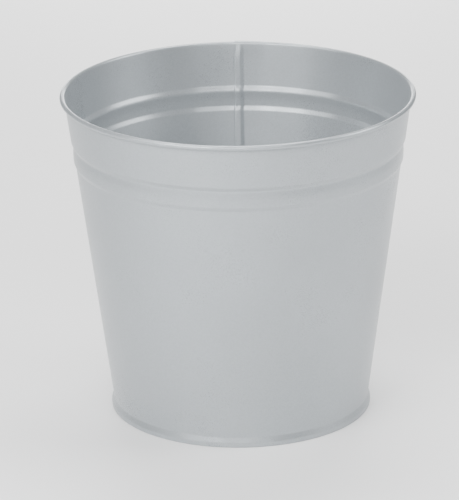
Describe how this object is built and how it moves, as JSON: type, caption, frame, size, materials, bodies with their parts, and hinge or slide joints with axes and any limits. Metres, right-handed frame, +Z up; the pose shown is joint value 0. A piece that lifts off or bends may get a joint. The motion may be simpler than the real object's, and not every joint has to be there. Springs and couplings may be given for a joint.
{
  "type": "florist bucket",
  "caption": "Tapered round sheet-steel florist bucket with a curled wired rim, a stepped band below it, a folded side seam and a recessed base.",
  "frame": {"origin": "on the ground plane, at the centre of the foot ring", "axes": "+Z up along the bucket's axis, +Y towards the folded side seam, +X to the right when the seam is at the back"},
  "size_m": [0.26, 0.2606, 0.2416],
  "materials": {
    "body_paint": "satin silver-grey powder coat with a fine metallic fleck",
    "base_paint": "the same silver-grey coat, a little duller inside and under the bucket",
    "wire_steel": "bright drawn steel wire, hidden in the rim",
    "seam_compound": "cured dark rubber-like sealing compound, hidden in the folds"
  },
  "bodies": {
    "root": {"body_sheet": "body_paint", "base_pan": "base_paint", "rim_wire": "wire_steel", "base_seal": "seam_compound", "side_seam_seal": "seam_compound"}
  },
  "joints": []
}
